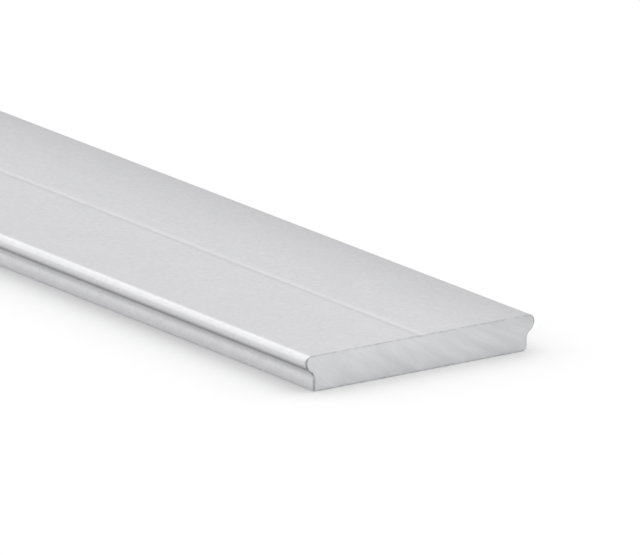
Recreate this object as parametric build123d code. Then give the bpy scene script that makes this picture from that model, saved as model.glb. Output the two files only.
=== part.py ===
"""Solid flat aluminium extrusion: rounded overhanging edges, coved sides and a drilling line.

One piece of stock, pressed through a die and sawn square at both ends.
Frame in millimetres: X runs along the bar, Y across it and Z up.
The origin is the middle of the underside.
"""

import math
import os

from build123d import *

# Stock size
bar_length = 1000.0
bar_width = 60.0
bar_height = 8.0

# Rounded edge: top shoulder, bead below the widest point, cove and upright side
shoulder_radius = 1.5
bead_radius = 2.6
cove_radius = 1.9
edge_overhang = 2.05

# Foot: a small arc below the upright side, then a flat sweep into the underside
foot_width = 1.4
foot_height = 0.85
foot_corner_radius = 0.5

# Drilling line: a shallow V along the top face, a little to the back of its middle
groove_width = 3.1
groove_depth = 0.5
groove_offset = 0.5
groove_lip_radius = 9.5

# Light deburring of the sawn ends
end_chamfer = 0.2

OUTPUT_FOLDER = "parts"


def edge_outline(half_width, widest_height):
    """Bead and cove: two arcs of one angle, tangent where they meet and upright at their far ends."""
    turn = math.degrees(math.acos(1 - edge_overhang / (bead_radius + cove_radius)))
    drop = (bead_radius + cove_radius) * math.sin(math.radians(turn))
    side = half_width - edge_overhang
    bead = CenterArc((half_width - bead_radius, widest_height), bead_radius, 0, -turn)
    cove = CenterArc((side + cove_radius, widest_height - drop), cove_radius, 180 - turn, turn)
    return bead, cove


def foot_outline(side):
    """Corner and sweep: two tangent arcs, upright at the side and level at the underside.

    The sweep's radius is the one whose circle touches both the corner's circle and the underside.
    """
    inset = foot_width - foot_corner_radius
    rise = foot_height - foot_corner_radius
    sweep_radius = (inset**2 + foot_height**2 - foot_corner_radius**2) / (2 * rise)
    sweep_turn = math.degrees(math.atan2(inset, sweep_radius - foot_height))
    meeting = sweep_turn - 90
    corner = CenterArc((side - foot_corner_radius, foot_height), foot_corner_radius, 0, meeting)
    sweep = CenterArc((side - foot_width, sweep_radius), sweep_radius, meeting, -sweep_turn)
    return corner, sweep


def half_section_outline():
    """Right half of the section without the drilling line, from the top's middle to the underside's."""
    half_width = bar_width / 2
    widest_height = bar_height - shoulder_radius
    top_flat = Line((0, bar_height), (half_width - shoulder_radius, bar_height))
    shoulder = CenterArc((half_width - shoulder_radius, widest_height), shoulder_radius, 90, -90)
    bead, cove = edge_outline(half_width, widest_height)
    side = half_width - edge_overhang
    side_flat = Line(cove @ 1, (side, foot_height))
    corner, sweep = foot_outline(side)
    underside = Line(sweep @ 1, (0, 0))
    return [top_flat, shoulder, bead, cove, side_flat, corner, sweep, underside]


def groove_face():
    """The V that the drilling line takes out of the section."""
    half_groove = groove_width / 2
    root = (groove_offset, bar_height - groove_depth)
    left_lip = (groove_offset - half_groove, bar_height)
    right_lip = (groove_offset + half_groove, bar_height)
    return make_face(Polyline(root, right_lip, left_lip, close=True))


def section_face():
    """Whole section: the half outline and its mirror image, less the drilling line, with rounded lips."""
    half_groove = groove_width / 2
    half = Wire(half_section_outline())
    outline = Wire(half.edges() + mirror(half, about=Plane.YZ).edges())
    face = make_face(outline) - groove_face()
    lips = [
        corner
        for corner in face.vertices()
        if math.isclose(corner.Y, bar_height) and math.isclose(abs(corner.X - groove_offset), half_groove)
    ]
    return fillet(lips, groove_lip_radius)


def profile_bar():
    """The section carried along X, with the rims of both sawn faces lightly chamfered."""
    section = Plane.YZ * section_face()
    bar = extrude(section, bar_length / 2, both=True)
    sawn_faces = bar.faces().sort_by(Axis.X)
    rims = sawn_faces[0].edges() + sawn_faces[-1].edges()
    return chamfer(rims, end_chamfer)


os.makedirs(OUTPUT_FOLDER, exist_ok=True)
export_step(profile_bar(), os.path.join(OUTPUT_FOLDER, "profile_bar.step"))
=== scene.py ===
"""Studio scene of a flat aluminium extrusion bar, laid out as a Blender add-on.

The packed model is the fixed frame, in metres: X runs along the bar, Y across it and Z up.
One piece stands for its only node. It is that node's section, with a shallower drilling line and
a sharper front foot, carried along X, with sawn ends, the thin torn rims that the saw leaves, and shade
painted into the metal's colour.
"""

import math

import bpy
import numpy as np
from mathutils import Matrix, Vector


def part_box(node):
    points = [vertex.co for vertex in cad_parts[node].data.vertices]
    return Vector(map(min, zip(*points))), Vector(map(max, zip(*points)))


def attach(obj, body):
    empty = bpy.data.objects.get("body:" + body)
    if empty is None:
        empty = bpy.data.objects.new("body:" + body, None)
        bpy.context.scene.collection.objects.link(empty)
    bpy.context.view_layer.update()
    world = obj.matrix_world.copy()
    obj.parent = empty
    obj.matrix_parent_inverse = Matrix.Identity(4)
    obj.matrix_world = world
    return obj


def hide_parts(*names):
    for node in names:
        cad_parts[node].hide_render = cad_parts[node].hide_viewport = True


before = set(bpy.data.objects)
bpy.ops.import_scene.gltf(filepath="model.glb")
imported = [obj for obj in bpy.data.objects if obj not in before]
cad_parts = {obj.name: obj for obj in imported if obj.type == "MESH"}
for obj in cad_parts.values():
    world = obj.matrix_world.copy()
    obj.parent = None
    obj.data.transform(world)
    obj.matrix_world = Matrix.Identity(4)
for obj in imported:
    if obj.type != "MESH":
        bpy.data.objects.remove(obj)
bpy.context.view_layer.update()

bl_info = {
    "name": "Aluminium Profile Bar",
    "version": (1, 0, 0),
    "blender": (4, 5, 0),
    "location": "View3D > Sidebar > Profile Bar",
    "description": "Builds a flat extruded aluminium bar and the studio stage it lies on",
    "category": "Add Mesh",
}

NODE = "profile_bar"
PIECE = "extruded_bar"
MM = 0.001

# Size of the bar, from the frame
BAR_LOW, BAR_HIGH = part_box(NODE)
BAR_SIZE = BAR_HIGH - BAR_LOW
HALF_LENGTH = BAR_SIZE.x / 2
HALF_WIDTH = BAR_SIZE.y / 2
BAR_HEIGHT = BAR_SIZE.z

# Steps of the section's arcs, and points of its other stretches, both ends included
SHOULDER_STEPS = 18
BEAD_STEPS = 16
COVE_STEPS = 14
SIDE_POINTS = 6
FOOT_CORNER_STEPS = 8
FOOT_SWEEP_STEPS = 10
LIP_POINTS = 15
WALL_POINTS = 4
FLAT_POINTS = 84

# Sections along the bar, both ends included, rings over a torn edge and rows of cells down a sawn face
BAR_SECTIONS = 41
TEAR_RINGS = 5
FACE_ROWS = 30

# Angle between faces from which their edge is shaded sharp
SHARP_ANGLE = math.radians(25)

# Materials of the mesh, by their place in its list
SKIN = 0
SAWN = 1

# Name of the mesh attribute that says how dull the metal is or how far painted shade darkens it, from 0 clean
# to 1 torn
DULLED_AND_SHADED = "dulled_and_shaded"

# Height above the cove over which the painted shade of the beads sets in, and where the painted shade of the
# top face starts
BEAD_FADE = 0.6 * MM
SHADE_START = -2.0 * MM

# Unevenness of a torn edge: its waves round the outline, and how far they change its width and its dullness
# with painted shade
TEAR_WAVE_COUNTS = np.array([9, 17, 29, 47, 71])
TEAR_WIDTH_CHANGE = 0.45
TEAR_DULLNESS_AND_SHADE_CHANGE = 0.9

# Lengths of the waves that make up the saw marks
SAW_WAVES = np.array([1.3, 2.1, 3.4, 5.3]) * MM

# Least and greatest share of one wave in a sum of waves
WAVE_SHARES = (0.6, 1.0)

# Seeds of the unevenness at each end
NEAR_END_SEED = 11
FAR_END_SEED = 23

# Noises on the skin, in cells to the metre along X, Y and Z
DIE_LINE_CELLS = (1.5, 1800.0, 1800.0)
GRAIN_CELLS = (900.0, 1200.0, 1200.0)
MOTTLE_CELLS = (90.0, 150.0, 150.0)

# Noises on the sawn ends, in cells to the metre across the saw's arcs and along them
BROAD_ARC_CELLS = (520.0, 80.0, 1.0)
FINE_ARC_CELLS = (2000.0, 330.0, 1.0)

# Part of a noise's values that is spread over a change of tone or gloss
NOISE_LOW = 0.25
NOISE_HIGH = 0.75

# How far the noises change the colour, as a share of it, and the roughness
GRAIN_TONE = 0.05
MOTTLE_TONE = 0.015
BROAD_ARC_TONE = 0.07
FINE_ARC_TONE = 0.035
DIE_LINE_GLOSS = 0.02
FINE_ARC_GLOSS = 0.06

# Relief that the noises give, and how strongly it shows
DIE_LINE_RELIEF = 0.0005 * MM
GRAIN_RELIEF = 0.016 * MM
BROAD_ARC_RELIEF = 0.02 * MM
FINE_ARC_RELIEF = 0.01 * MM
RELIEF_STRENGTH = 0.4

# Floor's reach from the bar, in metres
FLOOR_REACH = 60.0

# Camera: picture frame that it is fitted to, in pixels, sensor in millimetres and clipping in metres
PICTURE_WIDTH = 640
PICTURE_HEIGHT = 555
SENSOR_WIDTH = 36.0
CLIP_START = 0.1
CLIP_END = 200.0


class SectionSizes(bpy.types.PropertyGroup):
    """Sizes of the section that the die gives the bar"""

    shoulder_radius: bpy.props.FloatProperty(
        name="Shoulder Radius",
        description="Rounding between the top face and the widest point of the edge",
        default=1.5 * MM,
        unit="LENGTH",
    )
    bead_radius: bpy.props.FloatProperty(
        name="Bead Radius",
        description="Rounding below the widest point of the edge",
        default=2.6 * MM,
        unit="LENGTH",
    )
    cove_radius: bpy.props.FloatProperty(
        name="Cove Radius",
        description="Hollow rounding between the bead and the upright side",
        default=1.9 * MM,
        unit="LENGTH",
    )
    edge_overhang: bpy.props.FloatProperty(
        name="Edge Overhang",
        description="How far the bead stands out past the upright side",
        default=2.05 * MM,
        unit="LENGTH",
    )
    back_foot: bpy.props.FloatVectorProperty(
        name="Back Foot",
        description="Width and height of the rounded foot at the back, and the arc where it leaves the side",
        default=(1.4 * MM, 0.85 * MM, 0.5 * MM),
        size=3,
        unit="LENGTH",
    )
    front_foot: bpy.props.FloatVectorProperty(
        name="Front Foot",
        description="Width and height of the rounded foot at the front, and the arc where it leaves the side",
        default=(0.35 * MM, 0.22 * MM, 0.12 * MM),
        size=3,
        unit="LENGTH",
    )
    groove_width: bpy.props.FloatProperty(
        name="Drilling Line Width",
        description="Width of the shallow V along the top face, before its lips are rounded",
        default=2.5 * MM,
        unit="LENGTH",
    )
    groove_depth: bpy.props.FloatProperty(
        name="Drilling Line Depth",
        description="Depth of the shallow V along the top face",
        default=0.13 * MM,
        unit="LENGTH",
    )
    groove_offset: bpy.props.FloatProperty(
        name="Drilling Line Offset",
        description="How far the V lies behind the middle of the top face",
        default=0.25 * MM,
        unit="LENGTH",
    )
    groove_lip_radius: bpy.props.FloatProperty(
        name="Drilling Line Lip Radius",
        description="Rounding where the V meets the top face",
        default=9.5 * MM,
        unit="LENGTH",
    )


class SawnEndSizes(bpy.types.PropertyGroup):
    """Sizes of what the saw leaves on both ends"""

    edge_break: bpy.props.FloatProperty(
        name="Edge Break",
        description="Width of the tiny bevel between the skin and the sawn face",
        default=0.04 * MM,
        unit="LENGTH",
    )
    tear_width: bpy.props.FloatProperty(
        name="Tear Width",
        description="How far the torn edge reaches along the skin",
        default=0.30 * MM,
        unit="LENGTH",
    )
    exit_tear_width: bpy.props.FloatProperty(
        name="Exit Tear Width",
        description="How much further the torn edge reaches at the front, where the blade leaves",
        default=0.45 * MM,
        unit="LENGTH",
    )
    face_tear_width: bpy.props.FloatProperty(
        name="Face Tear Width",
        description="How far the torn edge reaches into the sawn face",
        default=0.25 * MM,
        unit="LENGTH",
    )
    blade_radius: bpy.props.FloatProperty(
        name="Blade Radius",
        description="Radius of the saw's arc through the middle of the underside",
        default=175.0 * MM,
        unit="LENGTH",
    )
    blade_angle: bpy.props.FloatProperty(
        name="Blade Angle",
        description="Direction from the middle of the underside to the blade's axis, above +Y",
        default=math.radians(58.0),
        subtype="ANGLE",
    )
    mark_depth: bpy.props.FloatProperty(
        name="Mark Depth",
        description="Depth of the deepest saw marks",
        default=0.012 * MM,
        unit="LENGTH",
    )


class MetalMarksAndShade(bpy.types.PropertyGroup):
    """How dull the saw leaves the metal's edges, and the shade painted on the metal, from 0 clean to 1 torn
    """

    # Painted shade: the beads and the top face are painted darker than the sides below the coves, for how
    # light falls on them
    bead_painted_shade: bpy.props.FloatProperty(
        name="Bead Dullness",
        description="Dullness of the beads and the top face",
        default=0.23,
        min=0.0,
        max=1.0,
        subtype="FACTOR",
    )
    # Painted shade: the top face is painted darker towards its back edge
    back_painted_shade: bpy.props.FloatProperty(
        name="Back Dullness",
        description="Dullness that the top face gains up to its back edge",
        default=0.24,
        min=0.0,
        max=1.0,
        subtype="FACTOR",
    )
    # Painted shade: a dark streak in the recess under each bead, where shade falls
    streak_painted_shade: bpy.props.FloatProperty(
        name="Streak Dullness",
        description="Dullness that the streak in the recess under each bead adds",
        default=0.64,
        min=0.0,
        max=1.0,
        subtype="FACTOR",
    )
    streak_width: bpy.props.FloatProperty(
        name="Streak Width",
        description="How far the streak reaches on each side of its middle",
        default=0.62 * MM,
        unit="LENGTH",
    )
    streak_place: bpy.props.FloatProperty(
        name="Streak Place",
        description="Where the streak lies: 0 at the bead's widest point, 1 where the cove begins",
        default=0.60,
        min=0.0,
        max=1.0,
        subtype="FACTOR",
    )
    # Partly painted shade: the torn edges are darkened for the torn metal and for the shade that their burr
    # shows, most at the front and along the underside
    rim_dullness_and_shade: bpy.props.FloatProperty(
        name="Rim Dullness",
        description="Dullness of the torn edge along the top face",
        default=0.28,
        min=0.0,
        max=1.0,
        subtype="FACTOR",
    )
    exit_dullness_and_shade: bpy.props.FloatProperty(
        name="Exit Dullness",
        description="Dullness that the torn edge gains at the front, where the blade leaves",
        default=0.62,
        min=0.0,
        max=1.0,
        subtype="FACTOR",
    )
    under_dullness_and_shade: bpy.props.FloatProperty(
        name="Under Dullness",
        description="Dullness that the torn edge gains along the underside",
        default=0.08,
        min=0.0,
        max=1.0,
        subtype="FACTOR",
    )
    # Painted shade: the sawn faces are painted darker up to the back of their top
    face_back_painted_shade: bpy.props.FloatProperty(
        name="Face Back Dullness",
        description="Dullness that the sawn faces gain up to the back of their top",
        default=0.25,
        min=0.0,
        max=1.0,
        subtype="FACTOR",
    )
    # Painted shade: the sawn faces are painted darker down to their underside
    face_low_painted_shade: bpy.props.FloatProperty(
        name="Face Low Dullness",
        description="Dullness that the sawn faces gain down to their underside",
        default=0.03,
        min=0.0,
        max=1.0,
        subtype="FACTOR",
    )


class MetalFinish(bpy.types.PropertyGroup):
    """Colours and gloss of the metal"""

    skin_colour: bpy.props.FloatVectorProperty(
        name="Skin Colour",
        description="Colour of the extruded skin where it is cleanest",
        default=(0.79, 0.79, 0.81),
        size=3,
        min=0.0,
        max=1.0,
        subtype="COLOR",
    )
    skin_roughness: bpy.props.FloatProperty(
        name="Skin Roughness",
        description="Roughness of the extruded skin",
        default=0.30,
        min=0.0,
        max=1.0,
        subtype="FACTOR",
    )
    sawn_colour: bpy.props.FloatVectorProperty(
        name="Sawn Colour",
        description="Colour of the sawn ends",
        default=(0.785, 0.788, 0.806),
        size=3,
        min=0.0,
        max=1.0,
        subtype="COLOR",
    )
    sawn_roughness: bpy.props.FloatProperty(
        name="Sawn Roughness",
        description="Roughness of the sawn ends",
        default=0.60,
        min=0.0,
        max=1.0,
        subtype="FACTOR",
    )
    # Also the colour that the painted shades darken the metal towards
    torn_and_shade_colour: bpy.props.FloatVectorProperty(
        name="Torn Colour",
        description="Colour of fully dulled metal, as at the torn edges of the ends",
        default=(0.24, 0.24, 0.245),
        size=3,
        min=0.0,
        max=1.0,
        subtype="COLOR",
    )


class StageSettings(bpy.types.PropertyGroup):
    """Floor, light and camera"""

    floor_colour: bpy.props.FloatVectorProperty(
        name="Floor Colour",
        description="Colour of the plain floor",
        default=(0.965, 0.965, 0.965),
        size=3,
        min=0.0,
        max=1.0,
        subtype="COLOR",
    )
    sky_brightness: bpy.props.FloatProperty(
        name="Sky Brightness",
        description="Brightness of the even white sky",
        default=0.57,
        min=0.0,
    )
    back_glow_turn: bpy.props.FloatProperty(
        name="Back Glow Turn",
        description="Turn of the broad glow behind the bar, counted as the camera's",
        default=math.radians(198.0),
        subtype="ANGLE",
    )
    back_glow_height: bpy.props.FloatProperty(
        name="Back Glow Height",
        description="Height of the back glow's middle above the horizon",
        default=math.radians(58.0),
        subtype="ANGLE",
    )
    back_glow_reach: bpy.props.FloatProperty(
        name="Back Glow Reach",
        description="Angle from the back glow's middle to its rim",
        default=math.radians(67.0),
        subtype="ANGLE",
    )
    back_glow_brightness: bpy.props.FloatProperty(
        name="Back Glow Brightness",
        description="Brightness that the sky gains in the middle of the back glow",
        default=0.86,
        min=0.0,
    )
    edge_glow_turn: bpy.props.FloatProperty(
        name="Edge Glow Turn",
        description="Turn of the glow that shows in the front shoulder, counted as the camera's",
        default=math.radians(300.0),
        subtype="ANGLE",
    )
    edge_glow_height: bpy.props.FloatProperty(
        name="Edge Glow Height",
        description="Height of the edge glow's middle above the horizon",
        default=math.radians(25.0),
        subtype="ANGLE",
    )
    edge_glow_reach: bpy.props.FloatProperty(
        name="Edge Glow Reach",
        description="Angle from the edge glow's middle to its rim",
        default=math.radians(53.0),
        subtype="ANGLE",
    )
    edge_glow_brightness: bpy.props.FloatProperty(
        name="Edge Glow Brightness",
        description="Brightness that the sky gains in the middle of the edge glow",
        default=0.76,
        min=0.0,
    )
    camera_azimuth: bpy.props.FloatProperty(
        name="Camera Azimuth",
        description="Turn of the camera round the bar, from looking along +Y",
        default=math.radians(55.14),
        subtype="ANGLE",
    )
    camera_elevation: bpy.props.FloatProperty(
        name="Camera Elevation",
        description="Height of the camera above the horizon",
        default=math.radians(15.70),
        subtype="ANGLE",
    )
    camera_lens: bpy.props.FloatProperty(
        name="Camera Lens",
        description="Focal length of the camera",
        default=779.6,
        min=1.0,
        unit="CAMERA",
    )
    pixels_per_metre: bpy.props.FloatProperty(
        name="Pixels per Metre",
        description="Scale of the picture at the middle of the near end",
        default=4656.0,
        min=1.0,
    )
    end_pixel: bpy.props.FloatVectorProperty(
        name="End Pixel",
        description="Where the middle of the near end lies in the picture, right and down",
        default=(421.0, 353.2),
        size=2,
    )


def arc(centre, radius, start, stop, steps):
    """Points on a circle about centre, from angle start to angle stop in degrees, both ends included."""
    angles = np.radians(np.linspace(start, stop, steps + 1))
    return np.column_stack([centre[0] + radius * np.cos(angles), centre[1] + radius * np.sin(angles)])


def groove_shape(section):
    """Tilt of the drilling line's walls, and how far from its root the lip's arc and the flat start.

    The arc touches the wall and the flat, both at radius * tan(tilt / 2) from the corner that it rounds.
    """
    lip = section.groove_width / 2
    tilt = math.atan2(section.groove_depth, lip)
    flat_start = lip + section.groove_lip_radius * math.tan(tilt / 2)
    arc_start = flat_start - section.groove_lip_radius * math.sin(tilt)
    return tilt, arc_start, flat_start


def shared_columns(section, back_end, front_end):
    """Y positions, largest first, at which the top face and the underside both get a point.

    They are even over the flats, and closer over the drilling line: on each half of it the lip's arc
    is cut by equal angles and the straight wall into equal steps, mirrored about the root.
    """
    tilt, arc_start, flat_start = groove_shape(section)
    lip_arc = flat_start - section.groove_lip_radius * np.sin(np.linspace(0, tilt, LIP_POINTS))
    wall = np.linspace(arc_start, 0, WALL_POINTS)[1:-1]
    half_groove = np.concatenate([lip_arc, wall])
    groove = section.groove_offset + np.concatenate([half_groove, [0.0], -half_groove[::-1]])
    back_flat = np.linspace(back_end, groove[0], FLAT_POINTS)[1:-1]
    front_flat = np.linspace(groove[-1], -front_end, FLAT_POINTS)[1:-1]
    return np.concatenate([back_flat, groove, front_flat])


def top_height(section, columns):
    """Height of the top face at each Y: the V's walls, its rounded lips, then the flat."""
    tilt, arc_start, flat_start = groove_shape(section)
    radius = section.groove_lip_radius
    distance = np.abs(columns - section.groove_offset)
    wall = BAR_HEIGHT - section.groove_depth + distance * math.tan(tilt)
    inside = np.clip(radius**2 - (distance - flat_start) ** 2, 0, None)
    lip_arc = BAR_HEIGHT - radius + np.sqrt(inside)
    return np.where(distance < arc_start, wall, np.where(distance < flat_start, lip_arc, BAR_HEIGHT))


def bead_turn(section):
    """Angle of the bead's arc and of the cove's, at which the two together step in by the overhang."""
    return math.acos(1 - section.edge_overhang / (section.bead_radius + section.cove_radius))


def edge_chain(section, foot):
    """Edge from the widest point down to the flat underside: bead, cove, upright side and foot.

    Bead and cove are arcs of one angle, tangent where they meet. The foot is a corner arc and a sweep.
    The sweep's radius is the one whose circle touches both the corner's circle and the underside.
    """
    widest = BAR_HEIGHT - section.shoulder_radius
    side = HALF_WIDTH - section.edge_overhang
    turn = bead_turn(section)
    cove_height = widest - (section.bead_radius + section.cove_radius) * math.sin(turn)
    turn_degrees = math.degrees(turn)
    bead_centre = (HALF_WIDTH - section.bead_radius, widest)
    bead = arc(bead_centre, section.bead_radius, 0, -turn_degrees, BEAD_STEPS)
    cove_centre = (side + section.cove_radius, cove_height)
    cove = arc(cove_centre, section.cove_radius, 180 - turn_degrees, 180, COVE_STEPS)

    foot_width, foot_height, corner_radius = foot
    inset = foot_width - corner_radius
    rise = foot_height - corner_radius
    sweep_radius = (inset**2 + foot_height**2 - corner_radius**2) / (2 * rise)
    meeting = math.degrees(math.atan2(inset, sweep_radius - foot_height)) - 90
    upright_heights = np.linspace(cove_height, foot_height, SIDE_POINTS)
    upright = np.column_stack([np.full(SIDE_POINTS, side), upright_heights])
    corner = arc((side - corner_radius, foot_height), corner_radius, 0, meeting, FOOT_CORNER_STEPS)
    sweep = arc((side - foot_width, sweep_radius), sweep_radius, meeting, -90, FOOT_SWEEP_STEPS)
    return np.concatenate([bead, cove[1:], upright[1:], corner[1:], sweep[1:]])


def shoulder_chain(section, edge):
    """Shoulder from the widest point up to the top face, and on to above the end of the foot.

    It has as many points as the edge that runs down from the same widest point.
    """
    radius = section.shoulder_radius
    shoulder = arc((HALF_WIDTH - radius, BAR_HEIGHT - radius), radius, 0, 90, SHOULDER_STEPS)
    ledge_points = len(edge) - len(shoulder)
    ledge = np.linspace(shoulder[-1, 0], edge[-1, 0], ledge_points + 1)[1:]
    return np.concatenate([shoulder, np.column_stack([ledge, np.full(ledge_points, BAR_HEIGHT)])])


def mirrored(chain):
    """A chain of the back half as the same chain of the front half, in the opposite order."""
    return chain[::-1] * np.array([-1.0, 1.0])


def section_chains(section):
    """The section as two chains of equally many points, from the back's widest point to the front's.

    The upper chain is the shoulders and the top face with its drilling line. The lower chain is
    the edges down to the feet and the underside. Between the feet they share their Y positions.
    """
    back_edge = edge_chain(section, section.back_foot)
    front_edge = edge_chain(section, section.front_foot)
    columns = shared_columns(section, back_edge[-1, 0], front_edge[-1, 0])
    top = np.column_stack([columns, top_height(section, columns)])
    underside = np.column_stack([columns, np.zeros_like(columns)])
    back_shoulder = shoulder_chain(section, back_edge)
    front_shoulder = shoulder_chain(section, front_edge)
    upper = np.concatenate([back_shoulder, top, mirrored(front_shoulder)])
    lower = np.concatenate([back_edge, underside, mirrored(front_edge)])
    return upper, lower


def outline_normals(outline):
    """Unit normals of a closed anticlockwise outline: the chord past each point, turned outwards."""
    chord = np.roll(outline, -1, axis=0) - np.roll(outline, 1, axis=0)
    normal = np.column_stack([chord[:, 1], -chord[:, 0]])
    return normal / np.linalg.norm(normal, axis=1, keepdims=True)


def ripple(position, waves, seed):
    """Smooth irregular curve from -1 to 1: a weighted mean of sine waves of given lengths.

    Their phases and weights are drawn from the seed.
    """
    draw = np.random.default_rng(seed)
    phase = draw.uniform(0, 2 * math.pi, len(waves))
    share = draw.uniform(*WAVE_SHARES, len(waves))
    total = sum(s * np.sin(2 * math.pi * position / w + p) for w, p, s in zip(waves, phase, share))
    return total / share.sum()


def torn_edge_and_shade(outline, normals, sawn, marks, seed):
    """Width along the skin and dullness of the torn edge at each outline point, the dullness partly painted
    shade.

    Both grow with how far the outline faces the front, where the blade leaves, and the dullness also
    with how far it faces down. Its darkness stands for the torn metal and for the shade that the burr
    shows and that falls along the underside. Both are uneven along the outline by a ripple of their own.
    """
    step = np.linalg.norm(np.roll(outline, -1, axis=0) - outline, axis=1)
    along = np.cumsum(step) - step
    waves = step.sum() / TEAR_WAVE_COUNTS
    front = np.clip(-normals[:, 0], 0, 1)
    under = np.clip(-normals[:, 1], 0, 1)
    width = sawn.tear_width + sawn.exit_tear_width * front
    dullness = marks.rim_dullness_and_shade + marks.exit_dullness_and_shade * front + marks.under_dullness_and_shade * under
    uneven_width = width * (1 + TEAR_WIDTH_CHANGE * ripple(along, waves, seed))
    uneven_dullness = dullness * (1 + TEAR_DULLNESS_AND_SHADE_CHANGE * ripple(along, waves, seed + 1))
    return uneven_width, uneven_dullness


def skin_painted_shade(section, marks, outline, normals):
    """Painted shade along the whole bar, at each outline point.

    The beads and the top face are painted a little darker than the sides below the coves, for how
    light falls on them. A streak of painted shade, with a bell curve across it, lies in the recess
    under each bead. A soft painted shade on the top face grows with the square of the way to the back edge.
    """
    widest = BAR_HEIGHT - section.shoulder_radius
    turn = bead_turn(section)
    place = marks.streak_place * turn
    streak_y = HALF_WIDTH - section.bead_radius * (1 - math.cos(place))
    streak_z = widest - section.bead_radius * math.sin(place)
    apart = np.hypot(np.abs(outline[:, 0]) - streak_y, outline[:, 1] - streak_z)
    # Painted shade in the recess under each bead
    streak = marks.streak_painted_shade * np.exp(-((apart / marks.streak_width) ** 2))
    cove_top = widest - section.bead_radius * math.sin(turn)
    above_cove = np.clip((outline[:, 1] - cove_top) / BEAD_FADE, 0, 1)
    upward = np.clip(normals[:, 1], 0, 1)
    to_back = np.clip((outline[:, 0] - SHADE_START) / (HALF_WIDTH - SHADE_START), 0, 1)
    return marks.bead_painted_shade * above_cove + streak + marks.back_painted_shade * upward * to_back**2


def saw_marks(points, sawn, seed):
    """Depth of the saw marks: a ripple of the distance from the blade's axis, so the marks are arcs."""
    axis = sawn.blade_radius * np.array([math.cos(sawn.blade_angle), math.sin(sawn.blade_angle)])
    reach = np.linalg.norm(points - axis, axis=-1)
    return sawn.mark_depth * (0.5 + 0.5 * ripple(reach, SAW_WAVES, seed))


def face_dullness_and_shade(points, outline, edge_dullness, sawn, marks):
    """Dullness and painted shade of the sawn face: the nearest outline point's, times a bell curve of the way
    to it.

    Two broad painted shades are added. One grows evenly downwards, the other evenly upwards and with
    the square of the way to the back.
    """
    apart = np.linalg.norm(points[:, None, :] - outline[None, :, :], axis=-1)
    nearest = apart.argmin(axis=1)
    fade = np.exp(-((apart.min(axis=1) / sawn.face_tear_width) ** 2))
    to_back = np.clip(points[:, 0] / HALF_WIDTH, 0, 1)
    to_top = points[:, 1] / BAR_HEIGHT
    # Two broad painted shades on the sawn face
    shade = marks.face_low_painted_shade * (1 - to_top) + marks.face_back_painted_shade * to_back**2 * to_top
    return edge_dullness[nearest] * fade + shade


def face_grid(upper, lower):
    """Rows of points between two chains, on straight lines from each upper point to its lower one."""
    share = np.linspace(0, 1, FACE_ROWS + 1)[1:-1]
    return upper[None, :, :] + share[:, None, None] * (lower - upper)[None, :, :]


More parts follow.
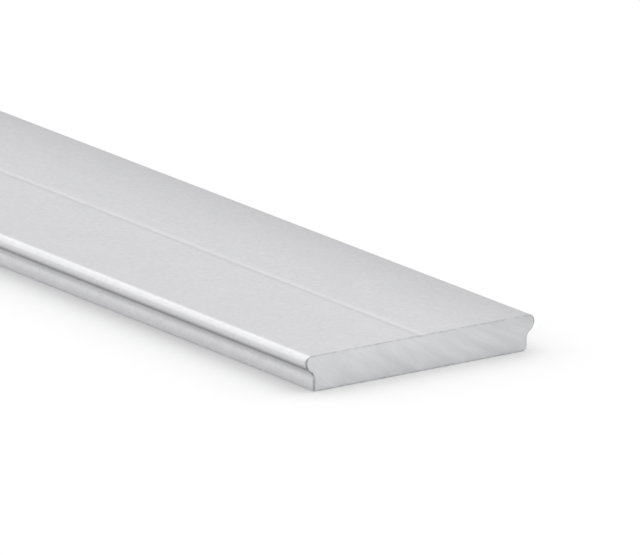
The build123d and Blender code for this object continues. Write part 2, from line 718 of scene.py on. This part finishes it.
class BarShape:
    """Points and faces of the bar, gathered block by block for one closed mesh.

    Side is 1 for the end at +X and -1 for the one at -X, where it turns the faces round.
    """

    def __init__(self, section, sawn, marks):
        upper, lower = section_chains(section)
        self.sawn = sawn
        self.marks = marks
        self.columns = len(upper)
        self.outline = np.concatenate([upper, lower[-2:0:-1]])
        self.normals = outline_normals(self.outline)
        # Painted shade on the skin, at each outline point
        self.skin_shade = skin_painted_shade(section, marks, self.outline, self.normals)
        self.point_count = 0
        self.points = []
        self.dullness = []
        self.quads = []
        self.quad_kinds = []
        self.triangles = []

    def add_points(self, x, section_points, dullness):
        """Adds section points at x, one value or one for each, and returns the index of the first."""
        start = self.point_count
        self.points.append(np.column_stack([np.broadcast_to(x, len(section_points)), section_points]))
        self.dullness.append(dullness)
        self.point_count += len(section_points)
        return start

    def add_quads(self, faces, kind):
        """Adds quads of one material."""
        self.quads.append(faces)
        self.quad_kinds.append(np.full(len(faces), kind))

    def add_band(self, first, second, side, kind):
        """Adds the quads between two rings of the outline, given by the indices of their first points."""
        here = np.arange(len(self.outline))
        there = np.roll(here, -1)
        faces = np.column_stack([first + here, first + there, second + there, second + here])
        self.add_quads(faces[:, ::side], kind)

    def add_skin(self):
        """Adds the skin, a ring of the outline at each inner section, and returns its outermost rings."""
        stations = np.linspace(-HALF_LENGTH, HALF_LENGTH, BAR_SECTIONS)[1:-1]
        rings = [self.add_points(x, self.outline, self.skin_shade) for x in stations]
        for first, second in zip(rings[:-1], rings[1:]):
            self.add_band(first, second, 1, SKIN)
        return rings[0], rings[-1]

    def add_torn_skin(self, body_ring, side, width, torn):
        """Adds the rings of a torn edge up to the end of the skin, and returns the last of them.

        Its dullness and painted shade set in over the edge's width by a smooth step, and cover what the
        skin's painted shade under it leaves clean: 1 - (1 - skin shade) * (1 - torn) at the end.
        """
        skin_end = HALF_LENGTH - self.sawn.edge_break
        last = body_ring
        for share in np.linspace(0, 1, TEAR_RINGS):
            dullness = self.skin_shade + (torn - self.skin_shade * torn) * share**2 * (3 - 2 * share)
            ring = self.add_points(side * (skin_end - width * (1 - share)), self.outline, dullness)
            self.add_band(last, ring, side, SKIN)
            last = ring
        return last

    def add_sawn_face(self, skin_ring, side, torn, seed):
        """Adds a sawn face: a rim set in by the edge break, and a grid between its upper and lower chain.

        The grid lies as deep as the saw marks. Triangles close it at the two widest points.
        """
        columns = self.columns
        rim = self.outline - self.normals * self.sawn.edge_break
        rim_ring = self.add_points(side * HALF_LENGTH, rim, torn)
        self.add_band(skin_ring, rim_ring, side, SAWN)
        grid = face_grid(rim[1:columns - 1], rim[:columns - 1:-1]).reshape(-1, 2)
        depth = saw_marks(grid, self.sawn, seed)
        dullness = face_dullness_and_shade(grid, self.outline, torn, self.sawn, self.marks)
        inner = self.add_points(side * (HALF_LENGTH - depth), grid, dullness)

        top_row = rim_ring + np.arange(1, columns - 1)
        bottom_row = rim_ring + np.arange(len(rim) - 1, columns - 1, -1)
        inner_rows = inner + np.arange(len(grid)).reshape(FACE_ROWS - 1, columns - 2)
        rows = np.concatenate([top_row[None], inner_rows, bottom_row[None]])
        cells = np.stack([rows[:-1, :-1], rows[:-1, 1:], rows[1:, 1:], rows[1:, :-1]], axis=-1)
        self.add_quads(cells.reshape(-1, 4)[:, ::side], SAWN)
        back_tip = np.full(FACE_ROWS, rim_ring)
        front_tip = np.full(FACE_ROWS, rim_ring + columns - 1)
        self.triangles.append(np.column_stack([back_tip, rows[:-1, 0], rows[1:, 0]])[:, ::side])
        self.triangles.append(np.column_stack([rows[:-1, -1], front_tip, rows[1:, -1]])[:, ::side])

    def to_mesh(self, name):
        """The mesh, quads and then triangles, with a material for each face and a dullness with painted shade
        for each point.
        """
        quads = np.concatenate(self.quads)
        triangles = np.concatenate(self.triangles)
        kinds = np.concatenate([*self.quad_kinds, np.full(len(triangles), SAWN)])
        corners = np.concatenate([quads.ravel(), triangles.ravel()])
        sizes = np.concatenate([np.full(len(quads), 4), np.full(len(triangles), 3)])
        mesh = bpy.data.meshes.new(name)
        mesh.vertices.add(self.point_count)
        mesh.vertices.foreach_set("co", np.concatenate(self.points).ravel())
        mesh.loops.add(len(corners))
        mesh.loops.foreach_set("vertex_index", corners)
        mesh.polygons.add(len(sizes))
        mesh.polygons.foreach_set("loop_start", np.cumsum(sizes) - sizes)
        mesh.polygons.foreach_set("material_index", kinds)
        mesh.polygons.foreach_set("use_smooth", np.ones(len(sizes), dtype=bool))
        mesh.update(calc_edges=True)
        mesh.set_sharp_from_angle(angle=SHARP_ANGLE)
        dulled_and_shaded = mesh.attributes.new(DULLED_AND_SHADED, "FLOAT", "POINT")
        dulled_and_shaded.data.foreach_set("value", np.concatenate(self.dullness))
        if mesh.validate(verbose=False):
            raise RuntimeError("the bar's mesh has faulty faces")
        return mesh


def bar_mesh(section, sawn, marks):
    """The bar as one closed mesh: the skin, then the torn edge and the sawn face of each end."""
    shape = BarShape(section, sawn, marks)
    far_ring, near_ring = shape.add_skin()
    for side, body_ring, seed in ((1, near_ring, NEAR_END_SEED), (-1, far_ring, FAR_END_SEED)):
        width, torn = torn_edge_and_shade(shape.outline, shape.normals, sawn, marks, seed)
        skin_ring = shape.add_torn_skin(body_ring, side, width, torn)
        shape.add_sawn_face(skin_ring, side, torn, seed)
    return shape.to_mesh(PIECE)


def link_nodes(tree, source, output, target, target_input):
    """Joins one node's output to another node's input."""
    tree.links.new(source.outputs[output], target.inputs[target_input])


def new_metal(name, roughness):
    """A bare metal of one roughness, returned with its node tree and its shader."""
    material = bpy.data.materials.new(name)
    material.use_nodes = True
    tree = material.node_tree
    shader = tree.nodes["Principled BSDF"]
    shader.inputs["Metallic"].default_value = 1.0
    shader.inputs["Roughness"].default_value = roughness
    return material, tree, shader


def noise_on(tree, source, output, cells, detail):
    """Noise on a node's vector, with its own number of cells to the metre along each axis."""
    mapping = tree.nodes.new("ShaderNodeMapping")
    mapping.inputs["Scale"].default_value = cells
    noise = tree.nodes.new("ShaderNodeTexNoise")
    noise.inputs["Scale"].default_value = 1.0
    noise.inputs["Detail"].default_value = detail
    link_nodes(tree, source, output, mapping, "Vector")
    link_nodes(tree, mapping, "Vector", noise, "Vector")
    return noise


def spread_about(tree, noise, middle, change):
    """The middle part of a noise's values, spread from change below a middle value to change above it."""
    spread = tree.nodes.new("ShaderNodeMapRange")
    spread.inputs["From Min"].default_value = NOISE_LOW
    spread.inputs["From Max"].default_value = NOISE_HIGH
    spread.inputs["To Min"].default_value = middle - change
    spread.inputs["To Max"].default_value = middle + change
    link_nodes(tree, noise, "Fac", spread, "Value")
    return spread


def tone_metal(tree, shader, clean, torn, tones):
    """Base colour: clean metal turned to torn by the mesh's own dullness and painted shade, then varied by
    each noise.

    Tones are pairs of a noise and the share of the colour that it changes.
    """
    # The attribute holds the dullness and the painted shade alike
    dulled_and_shaded = tree.nodes.new("ShaderNodeAttribute")
    dulled_and_shaded.attribute_name = DULLED_AND_SHADED
    colour = tree.nodes.new("ShaderNodeMix")
    colour.data_type = "RGBA"
    colour.inputs["A"].default_value = (*clean, 1.0)
    colour.inputs["B"].default_value = (*torn, 1.0)
    link_nodes(tree, dulled_and_shaded, "Fac", colour, "Factor")
    for noise, change in tones:
        toned = tree.nodes.new("ShaderNodeMix")
        toned.data_type = "RGBA"
        toned.blend_type = "MULTIPLY"
        toned.inputs["Factor"].default_value = 1.0
        link_nodes(tree, colour, "Result", toned, "A")
        link_nodes(tree, spread_about(tree, noise, 1.0, change), "Result", toned, "B")
        colour = toned
    link_nodes(tree, colour, "Result", shader, "Base Color")


def vary_gloss(tree, shader, noise, roughness, change):
    """Roughness varied by a noise, up to change below and above its even value."""
    link_nodes(tree, spread_about(tree, noise, roughness, change), "Result", shader, "Roughness")


def bump_metal(tree, shader, reliefs):
    """Bump laid one on another, from pairs of a noise and its height in metres."""
    under = None
    for noise, height in reliefs:
        bump = tree.nodes.new("ShaderNodeBump")
        bump.inputs["Strength"].default_value = RELIEF_STRENGTH
        bump.inputs["Distance"].default_value = height
        link_nodes(tree, noise, "Fac", bump, "Height")
        if under:
            link_nodes(tree, under, "Normal", bump, "Normal")
        under = bump
    link_nodes(tree, under, "Normal", shader, "Normal")


def mill_skin(finish):
    """Satin skin straight from the press: fine grain, and faint lines that the die draws along the bar."""
    material, tree, shader = new_metal("mill_skin", finish.skin_roughness)
    place = tree.nodes.new("ShaderNodeTexCoord")
    die_lines = noise_on(tree, place, "Object", DIE_LINE_CELLS, detail=3.0)
    grain = noise_on(tree, place, "Object", GRAIN_CELLS, detail=2.0)
    mottle = noise_on(tree, place, "Object", MOTTLE_CELLS, detail=3.0)
    tones = [(grain, GRAIN_TONE), (mottle, MOTTLE_TONE)]
    tone_metal(tree, shader, finish.skin_colour, finish.torn_and_shade_colour, tones)
    vary_gloss(tree, shader, die_lines, finish.skin_roughness, DIE_LINE_GLOSS)
    bump_metal(tree, shader, [(die_lines, DIE_LINE_RELIEF), (grain, GRAIN_RELIEF)])
    return material


def blade_coordinates(tree, sawn):
    """Polar coordinates about the blade's axis: X is the distance from it, Y the way along the arcs."""
    across = math.cos(sawn.blade_angle)
    upward = math.sin(sawn.blade_angle)
    place = tree.nodes.new("ShaderNodeTexCoord")
    from_axis = tree.nodes.new("ShaderNodeVectorMath")
    from_axis.operation = "SUBTRACT"
    from_axis.inputs[1].default_value = (0.0, sawn.blade_radius * across, sawn.blade_radius * upward)
    flatten = tree.nodes.new("ShaderNodeVectorMath")
    flatten.operation = "MULTIPLY"
    flatten.inputs[1].default_value = (0.0, 1.0, 1.0)
    reach = tree.nodes.new("ShaderNodeVectorMath")
    reach.operation = "LENGTH"
    along = tree.nodes.new("ShaderNodeVectorMath")
    along.operation = "DOT_PRODUCT"
    along.inputs[1].default_value = (0.0, upward, -across)
    polar = tree.nodes.new("ShaderNodeCombineXYZ")
    link_nodes(tree, place, "Object", from_axis, 0)
    link_nodes(tree, from_axis, "Vector", flatten, 0)
    link_nodes(tree, flatten, "Vector", reach, 0)
    link_nodes(tree, flatten, "Vector", along, 0)
    link_nodes(tree, reach, "Value", polar, "X")
    link_nodes(tree, along, "Value", polar, "Y")
    return polar


def sawn_end(finish, sawn):
    """Sawn face: broad and fine arcs about the blade's axis, uneven along each arc."""
    material, tree, shader = new_metal("sawn_end", finish.sawn_roughness)
    polar = blade_coordinates(tree, sawn)
    broad = noise_on(tree, polar, "Vector", BROAD_ARC_CELLS, detail=4.0)
    fine = noise_on(tree, polar, "Vector", FINE_ARC_CELLS, detail=2.0)
    tones = [(broad, BROAD_ARC_TONE), (fine, FINE_ARC_TONE)]
    tone_metal(tree, shader, finish.sawn_colour, finish.torn_and_shade_colour, tones)
    vary_gloss(tree, shader, fine, finish.sawn_roughness, FINE_ARC_GLOSS)
    bump_metal(tree, shader, [(broad, BROAD_ARC_RELIEF), (fine, FINE_ARC_RELIEF)])
    return material


def floor_material(colour):
    """Plain matt floor."""
    material = bpy.data.materials.new("pale_floor")
    material.use_nodes = True
    shader = material.node_tree.nodes["Principled BSDF"]
    shader.inputs["Base Color"].default_value = (*colour, 1.0)
    shader.inputs["Roughness"].default_value = 1.0
    shader.inputs["Specular IOR Level"].default_value = 0.0
    return material


def add_floor(stage):
    """A flat square floor under the bar, far larger than any view of it."""
    corners = np.array([[-1, -1], [1, -1], [1, 1], [-1, 1]]) * FLOOR_REACH
    points = np.column_stack([corners, np.full(4, BAR_LOW.z)])
    mesh = bpy.data.meshes.new("floor")
    mesh.from_pydata(points, [], [[0, 1, 2, 3]])
    mesh.materials.append(floor_material(stage.floor_colour))
    floor = bpy.data.objects.new("floor", mesh)
    bpy.context.scene.collection.objects.link(floor)


def towards(turn, height):
    """Unit vector from the bar to a place at a turn round it, from looking along +Y, and a height angle."""
    level = math.cos(height)
    return Vector((math.sin(turn) * level, -math.cos(turn) * level, math.sin(height)))


def glow_in_sky(tree, place, aim, reach, brightness):
    """Soft round patch of light about a direction: full in its middle, none from the angle reach on.

    Between the two it is a smooth step of the cosine of the angle from its middle.
    """
    facing = tree.nodes.new("ShaderNodeVectorMath")
    facing.operation = "DOT_PRODUCT"
    facing.inputs[1].default_value = aim
    glow = tree.nodes.new("ShaderNodeMapRange")
    glow.interpolation_type = "SMOOTHSTEP"
    glow.inputs["From Min"].default_value = math.cos(reach)
    glow.inputs["From Max"].default_value = 1.0
    glow.inputs["To Max"].default_value = brightness
    link_nodes(tree, place, "Generated", facing, 0)
    link_nodes(tree, facing, "Value", glow, "Value")
    return glow


def add_sky(stage):
    """Even white light from all round, with a broad glow behind the bar and one for its front shoulder."""
    world = bpy.data.worlds.new("white_studio")
    world.use_nodes = True
    tree = world.node_tree
    background = tree.nodes["Background"]
    background.inputs["Color"].default_value = (1.0, 1.0, 1.0, 1.0)
    place = tree.nodes.new("ShaderNodeTexCoord")
    back_aim = towards(stage.back_glow_turn, stage.back_glow_height)
    back = glow_in_sky(tree, place, back_aim, stage.back_glow_reach, stage.back_glow_brightness)
    edge_aim = towards(stage.edge_glow_turn, stage.edge_glow_height)
    edge = glow_in_sky(tree, place, edge_aim, stage.edge_glow_reach, stage.edge_glow_brightness)
    glows = tree.nodes.new("ShaderNodeMath")
    glows.operation = "ADD"
    sky = tree.nodes.new("ShaderNodeMath")
    sky.operation = "ADD"
    sky.inputs[1].default_value = stage.sky_brightness
    link_nodes(tree, back, "Result", glows, 0)
    link_nodes(tree, edge, "Result", glows, 1)
    link_nodes(tree, glows, "Value", sky, 0)
    link_nodes(tree, sky, "Value", background, "Strength")
    bpy.context.scene.world = world


def add_camera(stage):
    """A camera fitted to the picture by its angles, its scale and where the middle of the near end lies."""
    azimuth = stage.camera_azimuth
    back = towards(azimuth, stage.camera_elevation)
    right = Vector((math.cos(azimuth), math.sin(azimuth), 0.0))
    up = back.cross(right)
    data = bpy.data.cameras.new("photo_camera")
    data.sensor_fit = "HORIZONTAL"
    data.sensor_width = SENSOR_WIDTH
    data.lens = stage.camera_lens
    data.clip_start = CLIP_START
    data.clip_end = CLIP_END
    focal_pixels = data.lens / data.sensor_width * PICTURE_WIDTH
    distance = focal_pixels / stage.pixels_per_metre
    aside = (stage.end_pixel[0] - PICTURE_WIDTH / 2) / stage.pixels_per_metre
    below = (stage.end_pixel[1] - PICTURE_HEIGHT / 2) / stage.pixels_per_metre
    end_middle = Vector((BAR_HIGH.x, 0.0, (BAR_LOW.z + BAR_HIGH.z) / 2))
    place = end_middle - right * aside + up * below + back * distance
    turn = Matrix((right, up, back)).transposed().to_4x4()
    camera = bpy.data.objects.new("photo_camera", data)
    camera.matrix_world = Matrix.Translation(place) @ turn
    bpy.context.scene.collection.objects.link(camera)
    bpy.context.scene.camera = camera


class PROFILEBAR_OT_lay_bar(bpy.types.Operator):
    """Build the extruded bar in place of its node"""

    bl_idname = "profile_bar.lay_bar"
    bl_label = "Lay Extruded Bar"

    def execute(self, context):
        section = context.scene.profile_section
        sawn = context.scene.profile_sawn
        marks = context.scene.profile_marks
        finish = context.scene.profile_finish
        mesh = bar_mesh(section, sawn, marks)
        for material in (mill_skin(finish), sawn_end(finish, sawn)):
            mesh.materials.append(material)
        bar = bpy.data.objects.new(PIECE, mesh)
        context.scene.collection.objects.link(bar)
        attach(bar, "root")
        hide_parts(NODE)
        return {"FINISHED"}


class PROFILEBAR_OT_set_stage(bpy.types.Operator):
    """Set up the floor, the light and the camera"""

    bl_idname = "profile_bar.set_stage"
    bl_label = "Set Studio Stage"

    def execute(self, context):
        stage = context.scene.profile_stage
        add_floor(stage)
        add_sky(stage)
        add_camera(stage)
        context.scene.view_settings.view_transform = "Standard"
        return {"FINISHED"}


class PROFILEBAR_PT_sidebar(bpy.types.Panel):
    """Sizes, finish and stage of the bar"""

    bl_idname = "PROFILEBAR_PT_sidebar"
    bl_label = "Profile Bar"
    bl_space_type = "VIEW_3D"
    bl_region_type = "UI"
    bl_category = "Profile Bar"

    def draw(self, context):
        for name, group in GROUPS.items():
            settings = getattr(context.scene, name)
            box = self.layout.box()
            box.label(text=group.__doc__)
            for setting in group.__annotations__:
                box.prop(settings, setting)
        self.layout.operator(PROFILEBAR_OT_lay_bar.bl_idname)
        self.layout.operator(PROFILEBAR_OT_set_stage.bl_idname)


GROUPS = {
    "profile_section": SectionSizes,
    "profile_sawn": SawnEndSizes,
    "profile_marks": MetalMarksAndShade,
    "profile_finish": MetalFinish,
    "profile_stage": StageSettings,
}
CLASSES = (*GROUPS.values(), PROFILEBAR_OT_lay_bar, PROFILEBAR_OT_set_stage, PROFILEBAR_PT_sidebar)


def register():
    for cls in CLASSES:
        bpy.utils.register_class(cls)
    for name, group in GROUPS.items():
        setattr(bpy.types.Scene, name, bpy.props.PointerProperty(type=group))


def unregister():
    for name in GROUPS:
        delattr(bpy.types.Scene, name)
    for cls in reversed(CLASSES):
        bpy.utils.unregister_class(cls)


def main():
    register()
    bpy.ops.profile_bar.lay_bar()
    bpy.ops.profile_bar.set_stage()


if __name__ == "__main__":
    main()
